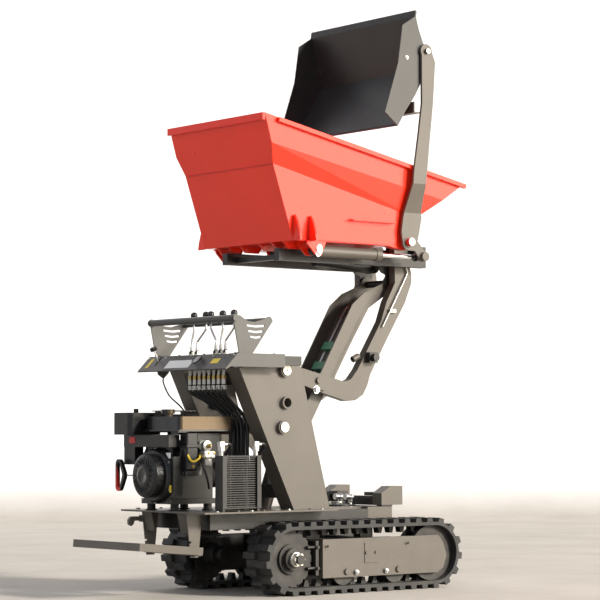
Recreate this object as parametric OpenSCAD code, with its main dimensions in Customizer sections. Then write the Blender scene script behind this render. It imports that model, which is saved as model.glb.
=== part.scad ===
// Tracked power wheelbarrow: a walk-behind dumper with a high-lift skip and a self-loading shovel.
// Millimetres. +X points forward (dumping end), +Y to the left, +Z up, ground at z = 0.
// Every x below is measured from the drive sprocket axle; place() then centres the machine on x = 0.

/* [Tracks] */
// Distance between neighbouring links of the rubber track
link_pitch = 72; // [68:0.5:76]
// Number of links in one track
link_count = 37; // [35:1:40]
// Width of one rubber track
track_w = 180; // [150:5:185]
// Distance from the centre plane to the middle of a track
track_y = 330; // [325:5:360]
// Radius of the outside of the track band around the wheels
band_r = 151; // [148:1:160]
// Thickness of the track band without its lugs
band_t = 16; // [12:1:18]
// Height of the ground lugs
lug_h = 20.5; // [15:0.5:24]
// Height of the guide teeth inside the track
tooth_h = 32; // [20:1:34]
// Radius of the lower track rollers
roller_r = 66; // [55:1:67]

/* [Chassis] */
// Height of the deck plate's top face above the ground
deck_top = 396; // [385:1:410]
// Thickness of the deck plate
deck_t = 8; // [5:0.5:9]
// Half the width of the deck plate
deck_hw = 338; // [320:1:360]
// Distance from the centre plane to the outside of a chassis beam
beam_y = 225; // [215:1:235]
// Width of the footboard at its rear edge
step_w = 544; // [500:4:560]
// Width of the footboard at its hinge
step_front_w = 470; // [460:2:480]
// Length of the footboard behind its hinge
step_len = 375; // [300:5:390]

/* [Mast and lift] */
// Distance from the centre plane to the outside of a mast plate
mast_y = 280; // [272:1:300]
// Thickness of the mast plates
mast_t = 8; // [6:0.5:10]
// Radius of the main linkage pins
pin_r = 17; // [14:0.5:20]
// Radial clearance of every running fit
run = 0.05; // [0.02:0.01:0.1]
// Width of one leg of the lift arm
leg_w = 45; // [36:1:50]
// Gap between the two legs of the lift arm
leg_gap = 224; // [222:1:240]
// Outside width of the lower link channel
link_w = 180; // [150:2:184]
// How far the lift arm turns down from its raised place, in degrees
lift_angle = 52; // [30:1:52]

/* [Skip and shovel] */
// Half the width of the skip at its rim
skip_hw = 383; // [370:1:386]
// Half the width of the skip at its floor
skip_floor_hw = 350; // [330:1:352]
// Sheet thickness of the skip and the shovel
sheet = 5; // [4:0.5:7]
// Half the width of the shovel at its rim
shovel_hw = 408; // [390:1:409]
// Radius of the shovel arm's top end
arm_r = 36; // [28:1:40]

/* [Cylinders] */
// Outside radius of the lift cylinder
lift_cyl_r = 38; // [34:1:40]
// Radius of the lift cylinder's rod
lift_rod_r = 20; // [16:0.5:24]
// Outside radius of the shovel cylinders
arm_cyl_r = 28; // [24:1:30]
// Radius of the shovel cylinders' rods
arm_rod_r = 12; // [10:0.5:14]
// Outside radius of the tipping cylinder
tip_cyl_r = 30; // [26:1:32]
// Radius of the tipping cylinder's rod
tip_rod_r = 15; // [12:0.5:18]

/* [Controls] */
// Radius of the rear handlebar tube
bar_r = 16; // [12:0.5:18]
// Height of the handlebar tube above the ground
bar_z = 1292; // [1250:1:1310]
// Length of a control lever from its socket to the middle of its knob
lever_len = 165; // [140:1:175]

/* [Hidden] */
$fn = 48;

// --- Places that several pieces share, as [x, z] ---
axle_z = band_r + lug_h;
pitch_r = band_r - band_t / 2;
idler_x = (link_count * link_pitch - 2 * PI * pitch_r) / 2;
wheel_r = band_r - band_t - 0.3;
roller_x = [319, 643];
roller_z = axle_z - band_r + band_t + roller_r + 0.3;
arm_top = [45, 1055];
link_low = [31, 786];
tip_pin = [890, 1780];
link_high = tip_pin + link_low - arm_top;
lift_base = [112, 330];
lift_eye = [355, 1013];
tip_base = [830, 1590];
tip_eye = [220, 1634];
arm_pin = [752, 1693];
horn_pin = [848, 1626];
ear_pin = [190, 1626];
shovel_pin = [832, 2640];
step_pin = [-405, 205];
skip_rear = [-148, 2257];
skip_tip = [1117, 2003];
skip_floor_z = 1670;
mid_x = (skip_tip.x + step_pin.x - step_len) / 2;
deck_rear = -463;
deck_front = 330;
beam_rear = -350;
mast_foot = [[103, deck_top], [323, deck_top]];
mast_head = [[-222, 1064], [139, 1098]];
leg_in = leg_gap / 2;
leg_out = leg_in + leg_w;
tank_front = 772;
cyl_y = 325;
lug_side = 378;
arm_low_y = 366;
arm_high_y = 412;
arm_t = 12;
boss_gap = 0.5;

// --- Shapes used again and again ---
module place() translate([-mid_x, 0, 0]) children();
module both() { children(); mirror([0, 1, 0]) children(); }
// A flat plate drawn in side view and standing between two y values
module plate(y0, y1) translate([0, y1, 0]) rotate([90, 0, 0]) linear_extrude(y1 - y0) children();
module pin(p, r, y0, y1) translate([p.x, y1, p.y]) rotate([90, 0, 0]) cylinder(h = y1 - y0, r = r);
module rod_x(x0, x1, y, z, r) translate([x0, y, z]) rotate([0, 90, 0]) cylinder(h = x1 - x0, r = r);
module rod_z(x, y, z0, z1, r) translate([x, y, z0]) cylinder(h = z1 - z0, r = r);
module block(lo, hi) translate(lo) cube(hi - lo);
// A side-view bar with round ends between two points
module bar2d(a, b, r, half = 0) {
    w = half > 0 ? half : r;
    translate(a) circle(r);
    translate(b) circle(r);
    translate(a) rotate(atan2(b.y - a.y, b.x - a.x)) translate([0, -w]) square([norm(b - a), 2 * w]);
}
// Turns +Z onto the line from a to b in side view
module aim(a, b, y = 0) translate([a.x, y, a.y]) rotate([0, atan2(b.x - a.x, b.y - a.y), 0]) children();
function turned(p, c, a) = c + [(p.x - c.x) * cos(a) + (p.y - c.y) * sin(a),
                                (p.y - c.y) * cos(a) - (p.x - c.x) * sin(a)];
function lerp(a, b, t) = a + (b - a) * t;
function frac(p) = p - floor(p);

// A smooth curve through the points of a route
function spline(p, i, t) = let (a = p[max(i - 1, 0)], b = p[i], c = p[i + 1],
    d = p[min(i + 2, len(p) - 1)])
    0.5 * (2 * b + (c - a) * t + (2 * a - 5 * b + 4 * c - d) * t * t
        + (3 * b - a - 3 * c + d) * t * t * t);
function route(p, n) = [for (i = [0:len(p) - 2]) for (k = [0:n - 1]) spline(p, i, k / n),
    p[len(p) - 1]];
function unit(v) = v / norm(v);
// Direction along a swept route; both ends stay square to the route's first and last stretch
function heading(p, q, i) = i == 0 ? unit(p[1] - p[0])
    : i == len(q) - 1 ? unit(p[len(p) - 1] - p[len(p) - 2]) : unit(q[i + 1] - q[i - 1]);
// A straight round bar between any two points
module strut(a, b, r) {
    d = b - a;
    translate(a) rotate([0, acos(d.z / norm(d)), atan2(d.y, d.x)]) cylinder(h = norm(d), r = r);
}
// A round hose swept along a smooth route, as one closed solid
module hose(p, r, n = 4, sides = 8) {
    q = route(p, n);
    m = len(q);
    pts = [for (i = [0:m - 1]) let (t = heading(p, q, i), u = unit(cross(t, [0.31, 0.95, 0.05])),
        v = cross(t, u)) for (k = [0:sides - 1]) let (a = 360 * k / sides)
        q[i] + r * (cos(a) * u + sin(a) * v)];
    faces = concat([[for (k = [0:sides - 1]) k]],
        [for (i = [0:m - 2]) for (k = [0:sides - 1]) let (j = (k + 1) % sides)
            [i * sides + k, (i + 1) * sides + k, (i + 1) * sides + j, i * sides + j]],
        [[for (k = [sides - 1:-1:0]) (m - 1) * sides + k]]);
    polyhedron(pts, faces);
}

// --- Undercarriage ---
band_len = link_count * link_pitch;
arc_len = PI * band_r;
run_len = idler_x;
loop_len = 2 * run_len + 2 * arc_len;
// Carries a shape drawn on the outside of the band, pointing out along +Y, to a share s of the loop
module on_band(s, r) {
    d = frac(s) * (2 * run_len + 2 * PI * r);
    arc = PI * r;
    if (d < run_len) translate([d, axle_z + r]) children();
    else if (d < run_len + arc)
        translate([idler_x, axle_z]) rotate(-(d - run_len) / r * 180 / PI) translate([0, r])
            children();
    else if (d < 2 * run_len + arc)
        translate([idler_x - (d - run_len - arc), axle_z - r]) rotate(180) children();
    else translate([0, axle_z]) rotate(180 - (d - 2 * run_len - arc) / r * 180 / PI)
        translate([0, r]) children();
}
module stadium(r) {
    translate([0, axle_z]) circle(r);
    translate([idler_x, axle_z]) circle(r);
    translate([0, axle_z - r]) square([idler_x, 2 * r]);
}
module lug2d() polygon([[-19, -2], [19, -2], [15, lug_h], [-15, lug_h]]);
module tooth2d() polygon([[-17, 2], [17, 2], [8, -tooth_h], [-8, -tooth_h]]);
module track_belt() {
    edge = track_w / 2;
    plate(track_y - edge, track_y + edge) difference() {
        stadium(band_r);
        stadium(band_r - band_t);
    }
    for (side = [0, 1]) {
        y0 = side ? track_y + 6 : track_y - edge;
        plate(y0, y0 + edge - 6) for (k = [0:link_count - 1])
            on_band((k + side / 2) / link_count, band_r) lug2d();
    }
    plate(track_y - 18, track_y + 18) for (k = [0:link_count - 1])
        on_band((k + 0.25) / link_count, band_r - band_t) tooth2d();
}
module track_left() color("#26272a") place() track_belt();
module track_right() color("#26272a") place() mirror([0, 1, 0]) track_belt();

// A wheel with a groove that the guide teeth run through, turning on a fixed axle
module grooved_wheel(c, r, half_w, groove, hub, bore) difference() {
    union() {
        pin(c, r, track_y - half_w, track_y - groove);
        pin(c, r, track_y + groove, track_y + half_w);
        pin(c, hub, track_y - half_w, track_y + half_w);
    }
    pin(c, bore, track_y - half_w - 1, track_y + half_w + 1);
}
groove_hw = 24;
axle_r = 15;
spindle_r = 22;
module idler() grooved_wheel([idler_x, axle_z], wheel_r, 52, groove_hw, wheel_r - tooth_h - 6,
    axle_r + run);
module idler_left() color("#2b2a29") place() idler();
module idler_right() color("#2b2a29") place() mirror([0, 1, 0]) idler();
module roller(i) grooved_wheel([roller_x[i], roller_z], roller_r, 54, groove_hw,
    roller_r - tooth_h - 6, axle_r + run);
module roller_rear_left() color("#8d8a86") place() roller(0);
module roller_rear_right() color("#8d8a86") place() mirror([0, 1, 0]) roller(0);
module roller_front_left() color("#8d8a86") place() roller(1);
module roller_front_right() color("#8d8a86") place() mirror([0, 1, 0]) roller(1);

// Drive sprocket: two rims joined by a hub, a turned boss outside and a castle nut
module sprocket() {
    c = [0, axle_z];
    difference() {
        union() {
            pin(c, wheel_r, track_y - 44, track_y - groove_hw);
            pin(c, wheel_r, track_y + groove_hw, track_y + 44);
            pin(c, wheel_r - tooth_h - 6, track_y - 44, track_y + 44);
            pin(c, 70, track_y + 43, track_y + 58);
            pin(c, 52, track_y + 57, track_y + 84);
            pin(c, 34, track_y + 83, track_y + 100);
        }
        pin(c, spindle_r + run, track_y - 60, track_y + 101);
        for (k = [0:17]) translate([0, track_y + 45, axle_z]) rotate([90, k * 20 + 10, 0])
            translate([wheel_r + 2, 0, -1]) cylinder(h = 92, r = 9);
    }
    difference() {
        translate([0, track_y + 124, axle_z]) rotate([90, 0, 0]) cylinder(h = 24.5, r = 32, $fn = 6);
        pin(c, spindle_r + run, track_y + 99, track_y + 125);
        for (k = [0:2]) translate([0, track_y + 124, axle_z]) rotate([0, 60 * k + 30, 0])
            block([-34, -9, -4], [34, 1, 4]);
    }
}
module sprocket_left() color("#3a3836") place() sprocket();
module sprocket_right() color("#3a3836") place() mirror([0, 1, 0]) sprocket();

frame_in = track_y - 76;
cover_out = track_y + 80;
module drive_motor() {
    c = [0, axle_z];
    pin(c, 62, frame_in - 110, frame_in - 12);
    pin(c, 78, frame_in - 26, frame_in - 12);
    pin(c, 44, frame_in - 150, frame_in - 109);
    block([-30, frame_in - 132, axle_z + 40], [30, frame_in - 70, axle_z + 84]);
    pin(c, spindle_r, frame_in - 13, track_y + 134);
}
module drive_motors() color("#1d1d1f") place() both() drive_motor();

module track_frame() {
    // inner plate with the motor's hole, the beam over the rollers and the idler's fork
    difference() {
        plate(frame_in - 12, frame_in - 4) polygon([[-95, 95], [740, 88], [740, 240], [130, 262],
            [-95, 262]]);
        pin([0, axle_z], spindle_r + 3, frame_in - 20, frame_in);
    }
    block([140, frame_in - 4.5, 180], [720, cover_out - 42, 252]);
    for (x = [220, 600]) block([x, cover_out - 43, 200], [x + 40, cover_out - 8, 240]);
    block([140, frame_in + 20, 90], [158, cover_out - 12, 252]);
    for (y = [[frame_in - 4.5, frame_in + 6], [track_y + 62, track_y + 72]])
        difference() {
            plate(y[0], y[1]) polygon([[700, 120], [idler_x + 40, 132], [idler_x + 40, 212], [700, 252]]);
            pin([idler_x, axle_z], axle_r, y[0] - 1, y[1] + 1);
        }
    pin([idler_x, axle_z], axle_r, frame_in - 4, track_y + 71);
    for (x = roller_x) {
        pin([x, roller_z], axle_r, frame_in - 5, cover_out - 9);
        pin([x, roller_z], axle_r + 8, frame_in - 5, track_y - 56);
        pin([x, roller_z], axle_r + 8, track_y + 56, cover_out - 9);
    }
    for (z = [124, 222]) pin([150, z], 8, cover_out - 13, cover_out - 2);
    // studs behind the cover's rear edge
    for (z = [124, 222]) rod_x(96, 141, cover_out - 24, z, 8);
}
module track_frames() color("#1f1e1d") place() both() track_frame();

module track_cover() {
    difference() {
        plate(cover_out - 8, cover_out) polygon([[173, 76], [900, 76], [938, 100], [961, 156],
            [938, 222], [906, 258], [173, 258]]);
        pin([roller_x[0], roller_z], 12, cover_out - 9, cover_out + 1);
        pin([roller_x[1], roller_z], 12, cover_out - 9, cover_out + 1);
    }
    block([173, cover_out - 40, 76], [179, cover_out - 7.5, 258]);
    block([173, cover_out - 26, 252.5], [740, cover_out - 7.5, 258]);
    // inspection plate and its two screws, and the two roller bolts
    plate(cover_out, cover_out + 3) polygon([[430, 139], [510, 139], [510, 236], [430, 236]]);
    for (x = [440, 500]) pin([x, 188], 8, cover_out + 3, cover_out + 9);
    for (x = roller_x) pin([x, roller_z], 15, cover_out, cover_out + 10);
}
module track_covers() color("#6b6259") place() both() track_cover();

module chassis_frame() color("#4d463f") place() {
    beam_in = beam_y - 50;
    under = deck_top - deck_t;
    both() block([beam_rear, beam_in, 310], [tank_front - 160, beam_y, under]);
    for (x = [beam_rear, 20]) block([x, -beam_in - 1, 310], [x + 50, beam_in + 1, under]);
    // cross tubes that carry the track frames, and the risers onto them
    for (x = [225, 560]) {
        block([x, -(frame_in - 12), 170], [x + 80, frame_in - 12, 250]);
        both() block([x, beam_in, 249], [x + 80, beam_y, 311]);
    }
    // ears and pin of the lift cylinder
    both() difference() {
        plate(42, 54) union() {
            bar2d(lift_base, [lift_base.x - 50, lift_base.y], 30);
            translate([30, 310]) square([40, 50]);
        }
        pin(lift_base, 12, 30, 60);
    }
    pin(lift_base, 12.5, -54, 54);
}

module deck_plate() color("#6b6259") place() {
    difference() {
        block([deck_rear, -deck_hw, deck_top - deck_t], [deck_front, deck_hw, deck_top]);
        block([60, -100, deck_top - deck_t - 1], [deck_front + 1, 100, deck_top + 1]);
    }
    both() for (x = [-380, -250, -100, 40, 180])
        translate([x, deck_hw - 30, deck_top - 0.5]) cylinder(h = 6, r = 8, $fn = 6);
}

module hydraulic_tank() color("#5a5148") place() {
    difference() {
        block([deck_front + 2, -beam_y + 50, 331], [tank_front, beam_y - 50, 397]);
        block([deck_front + 6, -beam_y + 54, 335], [tank_front - 4, beam_y - 54, 393]);
    }
    both() block([tank_front - 158, beam_y - 52, 331], [tank_front, beam_y - 6, 397]);
}
module tank_lid() color("#8f8c85") place() {
    translate([600, 0, 397]) {
        cylinder(h = 9, r = 92);
        for (k = [0:7]) rotate(45 * k + 20) translate([78, 0, 8]) cylinder(h = 9, r = 8, $fn = 6);
        cylinder(h = 22, r = 40);
    }
    for (y = [-38, 42]) {
        rod_z(660, y, 405, 440, 13);
        translate([660, y, 439]) sphere(16);
        rod_x(632, 660, y, 441, 11);
        rod_x(622, 634, y, 441, 15);
    }
}
module rest_blocks() color("#4d463f") place() {
    both() {
        block([749, 168, 404], [826, 236, 496]);
        plate(168, 236) polygon([[749, 404], [749, 496], [690, 462], [690, 404]]);
        block([703, 182, 397], [772, 222, 405]);
        block([690, 104, 449], [760, 169, 466]);
    }
    block([706, -169, 402], [748, 169, 446]);
}

// --- Mast, console and handlebar ---
function head_edge(x) = lerp(mast_head[0], mast_head[1], (x - mast_head[0].x)
    / (mast_head[1].x - mast_head[0].x));
function rear_edge(z) = lerp(mast_foot[0], mast_head[0], (z - deck_top) / (mast_head[0].y - deck_top));
module mast_outline() polygon([mast_foot[0], mast_foot[1], mast_head[1], mast_head[0]]);
module mast_side() {
    difference() {
        plate(mast_y - mast_t, mast_y) mast_outline();
        for (p = [arm_top, link_low]) pin(p, pin_r + run, mast_y - 40, mast_y + 40);
        pin([52, 902], 22, mast_y - 40, mast_y + 40);
    }
    // folded rear flange
    plate(mast_y - 100, mast_y - mast_t + 0.5) polygon([mast_foot[0], mast_foot[0] + [8.5, 0],
        mast_head[0] + [8.5, 0], mast_head[0]]);
    for (p = [arm_top, link_low]) difference() {
        pin(p, 32, mast_y, mast_y + 20);
        pin(p, pin_r + run, mast_y - 1, mast_y + 21);
    }
    for (p = [arm_top, link_low]) difference() {
        pin(p, 32, mast_y - mast_t - 24, mast_y - mast_t);
        pin(p, pin_r + run, mast_y - mast_t - 25, mast_y);
    }
    difference() {
        pin([52, 902], 30, mast_y - 40, mast_y + 20);
        pin([52, 902], 22, mast_y - 41, mast_y + 21);
    }
    // foot flange with bolts
    block([100, mast_y - 60, deck_top], [326, mast_y - mast_t + 0.5, deck_top + 8]);
}
module mast_left() color("#6b6259") place() mast_side();
module mast_right() color("#6b6259") place() mirror([0, 1, 0]) mast_side();
module mast_brace() color("#2b2826") place() {
    rear = mast_y - 100;
    for (z = [[450, 515], [985, 1045]]) {
        a = rear_edge(z[0]);
        b = rear_edge(z[1]);
        plate(-rear, rear) polygon([a, b, b + [6, 0], a + [6, 0]]);
    }
}
// Main pins: shaft, pale end ring and coloured centre on both sides
module mast_pins() color("#b9b3a8") place() for (p = [arm_top, link_low]) {
    pin(p, pin_r, -mast_y - 24, mast_y + 24);
    both() pin(p, 22, mast_y + 20.2, mast_y + 26);
}

console_low = [-358, 1057];
console_high = [-286, 1129];
console_front = -7;
console_hw = 355;
throttle_pin = [-285, 1060];
throttle_y = 245;
lever_y = [94, 50, -99, -137, -175];
lever_lean = [-18, -70, 40, -16, -66];
lever_x = -222;
valve_z = 1066;
module console() color("#57524b") place() {
    c = console_high;
    difference() {
        union() {
            plate(-console_hw, console_hw) polygon([console_low, c, c + [4, -4],
                console_low + [4, -5]]);
            block([c.x, -console_hw, c.y - 4], [console_front, console_hw, c.y]);
            both() block([c.x, console_hw - 4, 1066], [console_front, console_hw, c.y - 3.5]);
            both() plate(console_hw - 4, console_hw) polygon([console_low + [4, -4],
                c + [0.5, -4], [c.x + 0.5, 1066], [c.x - 40, 1066]]);
        }
        for (y = lever_y) block([lever_x - 24, y - 15, c.y - 10], [lever_x + 24, y + 15, c.y + 5]);
        translate([throttle_pin.x, throttle_y - 7, throttle_pin.y]) rotate([0, -25, 0])
            block([-34, 0, 10], [26, 14, 90]);
    }
    // end blocks on the mast top
    both() {
        block([console_front, 308, 1076], [92, console_hw - 1, 1120]);
        block([console_front, mast_y - 60, 1102], [92, 309, 1120]);
    }
    // stiffeners that sit on the mast plates
    both() plate(mast_y - 30, mast_y) polygon([head_edge(-200), head_edge(console_front),
        [console_front, c.y - 3.5], [-200, c.y - 3.5]]);
    // throttle bracket under the panel
    difference() {
        plate(throttle_y - 14, throttle_y - 9) polygon([[-330, 1084], [-296, 1114], [-250, 1122],
            [-258, 1050], [-290, 1020], [-322, 1040]]);
        pin(throttle_pin, 5, throttle_y - 15, throttle_y);
    }
    block([-276, throttle_y - 13, 1114], [-250, throttle_y + 6, c.y - 3.5]);
    pin(throttle_pin, 5, throttle_y - 14, throttle_y + 12);
}

module curved_slot(z, w) translate([-168, z]) {
    translate([-w / 2, 3]) circle(5);
    translate([w / 2, 3]) circle(5);
    polygon([[-w / 2, -2], [0, -6], [w / 2, -2], [w / 2, 8], [0, 4], [-w / 2, 8]]);
}
module handlebar() color("#57524b") place() {
    base = console_high.y;
    both() {
        difference() {
            plate(331, 337) union() {
                polygon([[-265, base], [-186, base], [-66, 1284], [-88, 1302], [-108, 1296],
                    [-120, 1290], [-176, 1276], [-218, 1280], [-262, 1306], [-300, 1300]]);
                translate([-88, 1287]) circle(17);
                translate([-289, bar_z]) circle(bar_r + 3);
            }
            plate(330, 338) {
                curved_slot(1256, 96);
                curved_slot(1230, 78);
                curved_slot(1204, 56);
            }
        }
        block([-262, 300, base], [-190, 332, base + 5]);
    }
    pin([-289, bar_z], bar_r, -345, 345);
    pin([-88, 1287], 12, -331.5, 331.5);
}
module pressure_gauge() color("#d8d5cc") place()
    translate([-322, -100, 1093]) rotate([0, -45, 0]) translate([0, 0, 0.5]) {
        cylinder(h = 14, r = 24);
        translate([0, 0, 13.5]) cylinder(h = 4, r = 27);
    }

// Lever and knob in a socket on the valve spool; it rocks about the socket's pin
lever_pin_z = console_high.y + 10;
module lever(i) {
    y = lever_y[i];
    c = [lever_x, lever_pin_z];
    bend = lever_lean[i];
    top = lever_len + lever_pin_z;
    difference() {
        block([lever_x - 8, y - 7, lever_pin_z - 7], [lever_x + 8, y + 7, lever_pin_z + 30]);
        pin(c, 3.5 + run, y - 8, y + 8);
    }
    knee = [lever_x, y, lever_pin_z + 55];
    elbow = [lever_x, y + bend, lever_pin_z + 110];
    rod_z(lever_x, y, lever_pin_z + 29, knee.z, 5);
    translate(knee) sphere(5.2);
    strut(knee, elbow, 5);
    translate(elbow) sphere(5.2);
    rod_z(elbow.x, elbow.y, elbow.z, top, 5);
    translate([lever_x, y + bend, top]) sphere(17);
    rod_z(lever_x, y + bend, top - 26, top - 8, 9);
}
module lever_1() color("#c9c9c7") place() lever(0);
module lever_2() color("#c9c9c7") place() lever(1);
module lever_3() color("#c9c9c7") place() lever(2);
module lever_4() color("#c9c9c7") place() lever(3);
module lever_5() color("#c9c9c7") place() lever(4);

module valve_bank() color("#8a8578") place() {
    y0 = lever_y[4] - 26;
    y1 = lever_y[0] + 26;
    block([lever_x - 34, y0, valve_z], [lever_x + 26, y1, console_high.y - 18]);
    for (y = lever_y) {
        rod_z(lever_x, y, console_high.y - 18.5, console_high.y - 2, 8);
        both_sides(y) block([lever_x - 9, 8, console_high.y - 3], [lever_x + 9, 14, lever_pin_z + 9]);
        pin([lever_x, lever_pin_z], 3.5, y - 14, y + 14);
    }
    block([lever_x - 20, y0 - 18, valve_z + 4], [lever_x + 20, y0 + 1, 1100]);
    block([lever_x + 25, -150, valve_z + 4], [lever_x + 62, 40, valve_z + 18]);
    block([lever_x + 55, -150, valve_z + 17], [lever_x + 62, 40, console_high.y - 4]);
}
// A socket ear on each side of a lever, joined below it
module both_sides(y) translate([0, y, 0]) {
    children();
    mirror([0, 1, 0]) children();
    block([lever_x - 9, -14, console_high.y - 3], [lever_x + 9, 14, console_high.y - 1.2]);
}

throttle_lean = [-340, 1162];
module throttle_lever() color("#c9c9c7") place() {
    len_t = norm(throttle_lean - throttle_pin);
    difference() {
        pin(throttle_pin, 12, throttle_y - 8.5, throttle_y + 8);
        pin(throttle_pin, 5 + run, throttle_y - 9, throttle_y + 9);
    }
    aim(throttle_pin, throttle_lean, throttle_y) {
        translate([0, 0, 11]) cylinder(h = len_t - 11, r = 4);
        translate([0, 0, len_t - 8]) cylinder(h = 18, r = 13);
        for (k = [0:5]) rotate(60 * k) translate([13, 0, len_t - 7]) cylinder(h = 15, r = 5.5);
    }
}
module throttle_cable() color("#1c1c1e") place()
    hose([[-290, throttle_y - 11.5, 1019.8], [-290, throttle_y - 12, 1000], [-280, 200, 940],
        [-266, 140, 895], [-262, 100, 862], [-262, 100, 837]], 4, 3);

// --- Engine and hydraulics ---
crank = [70, 560];
eng_x0 = -445;
eng_x1 = -180;
module engine_block() color("#55524c") place() {
    // sump, crankcase, slanted cylinder with fins, and head cover
    block([eng_x0 + 5, crank.x - 120, 427], [eng_x1, crank.x + 130, 452]);
    block([eng_x0 + 5, crank.x - 100, 451], [eng_x1 - 10, crank.x + 110, 640]);
    rod_x(eng_x1 - 11, eng_x1 + 22, crank.x, crank.y, 55);
    translate([(eng_x0 + eng_x1) / 2, crank.x + 40, 600]) rotate([-52, 0, 0]) {
        for (k = [0:5]) translate([-78, -70, 40 + 14 * k]) cube([156, 140, 7]);
        translate([-62, -58, 10]) cube([124, 116, 120]);
        translate([-70, -62, 128]) cube([140, 124, 34]);
    }
}
module recoil_housing() color("#1c1c1e") place() difference() {
    union() {
        rod_x(eng_x0, eng_x0 + 5, crank.x, crank.y, 132);
        translate([eng_x0 - 26, crank.x, crank.y]) rotate([0, 90, 0]) cylinder(h = 26.5, r1 = 118, r2 = 131);
        rod_x(eng_x0 - 66, eng_x0 - 25.5, crank.x, crank.y, 102);
        translate([eng_x0 - 76, crank.x, crank.y]) rotate([0, 90, 0]) cylinder(h = 10.5, r1 = 84, r2 = 101);
    }
    for (k = [0:23]) translate([eng_x0 - 60, crank.x, crank.y]) rotate([k * 15, 0, 0])
        block([0, -2.5, 96], [30, 2.5, 106]);
    for (k = [0:15]) translate([eng_x0 - 77, crank.x, crank.y]) rotate([k * 22.5, 0, 0])
        block([0, -3, 40], [6, 3, 74]);
    translate([eng_x0 - 45, crank.x + 200, crank.y]) rotate([90, 0, 0]) cylinder(h = 250, r = 3.2);
}
module engine_shroud() color("#232427") place() {
    difference() {
        block([eng_x0 - 22, crank.x - 130, 694], [eng_x0 + 40, crank.x + 240, 752]);
        block([eng_x0 - 16, crank.x + 120, 640], [eng_x0 + 41, crank.x + 234, 700]);
    }
    block([eng_x0 + 22, crank.x - 101, 640], [eng_x0 + 54, crank.x + 120, 694.5]);
    block([eng_x0 - 20, crank.x + 150, 610], [eng_x0 + 30, crank.x + 240, 694.5]);
    block([eng_x0 - 10, crank.x - 150, 470], [eng_x0 + 42, crank.x - 134, 650]);
}
cap_at = [-365, 88];
module fuel_tank() color("#2a2826") place() {
    hull() for (x = [eng_x0 + 14, eng_x1 + 26]) for (y = [crank.x - 175, crank.x + 60])
        translate([x, y, 775]) cylinder(h = 62, r = 20, $fn = 32);
    block([eng_x0 - 14, crank.x - 203, 768], [eng_x1 + 54, crank.x + 86, 775.5]);
    rod_z(cap_at.x, cap_at.y, 836, 852, 24);
    rod_z(cap_at.x, cap_at.y, 851.5, 872, 33);
    block([eng_x0 + 40, crank.x - 120, 752.2], [eng_x1, crank.x - 60, 768.5]);
}
module air_cleaner() color("#232427") place() {
    hull() for (x = [eng_x0 - 52, eng_x0 + 86]) for (y = [crank.x + 132, crank.x + 236])
        translate([x, y, 752]) cylinder(h = 105, r = 24, $fn = 32);
    rod_z(eng_x0 + 10, crank.x + 184, 856, 876, 12);
}
module muffler() color("#2e2c2a") place() {
    hull() for (x = [eng_x0 + 150, eng_x1 + 40]) for (y = [crank.x + 116, crank.x + 214])
        translate([x, y, 762]) cylinder(h = 88, r = 18, $fn = 32);
    for (k = [0:5]) rod_x(eng_x0 + 130, eng_x1 + 45, crank.x + 110 + 22 * k, 866, 3);
    rod_z(-270, crank.x + 134, 749.2, 762.5, 14);
    both_x() block([0, crank.x + 104, 850], [5, crank.x + 226, 866]);
}
module both_x() for (x = [eng_x0 + 150, eng_x1 + 36]) translate([x, 0, 0]) children();
module carburettor() color("#9a968d") place() {
    block([eng_x0 + 42, crank.x - 172, 560], [eng_x0 + 118, crank.x - 101, 672]);
    rod_x(eng_x0 + 119, eng_x0 + 168, crank.x - 138, 640, 24);
    rod_z(eng_x0 + 150, crank.x - 128, 560, 618, 19);
    block([eng_x0 + 117, crank.x - 160, 606], [eng_x0 + 176, crank.x - 101, 676]);
}
module hydraulic_pump() color("#3b3a38") place() {
    rod_x(eng_x1 + 22.2, eng_x1 + 60, crank.x, crank.y, 62);
    block([eng_x1 + 60, crank.x - 50, crank.y - 60], [eng_x1 + 170, crank.x + 50, crank.y + 60]);
    for (y = [-50, 50]) translate([eng_x1 + 110, crank.x + y, crank.y]) rotate([y > 0 ? -90 : 90, 0, 0])
        cylinder(h = 24, r = 20);
}
module engine_mounts() color("#161616") place()
    for (x = [eng_x0 + 40, eng_x1 - 34]) for (y = [crank.x - 92, crank.x + 98]) {
        rod_z(x, y, deck_top, deck_top + 31, 20);
        rod_z(x, y, deck_top, deck_top + 5, 28);
    }

cooler = [[-355, -330, deck_top + 14], [-130, -272, 655]];
module oil_cooler() color("#1b1b1c") place() {
    lo = cooler[0];
    hi = cooler[1];
    block([lo.x, lo.y, lo.z], [lo.x + 24, hi.y, hi.z]);
    block([hi.x - 24, lo.y, lo.z], [hi.x, hi.y, hi.z]);
    block([lo.x + 23, lo.y + 4, lo.z], [hi.x - 23, hi.y - 4, lo.z + 6]);
    block([lo.x + 23, lo.y + 4, hi.z - 6], [hi.x - 23, hi.y - 4, hi.z]);
    fins = 22;
    step_z = (hi.z - lo.z - 12) / fins;
    for (k = [0:fins - 1]) block([lo.x + 23, lo.y + 10, lo.z + 8 + k * step_z],
        [hi.x - 23, hi.y - 10, lo.z + 8 + (k + 0.5) * step_z]);
    block([lo.x + 60, lo.y + 26, lo.z + 5], [lo.x + 70, lo.y + 32, hi.z - 5]);
    block([hi.x - 70, lo.y + 26, lo.z + 5], [hi.x - 60, lo.y + 32, hi.z - 5]);
    for (x = [lo.x + 6, hi.x - 18]) block([x, lo.y + 8, deck_top], [x + 12, hi.y - 8, lo.z + 0.5]);
}
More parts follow.
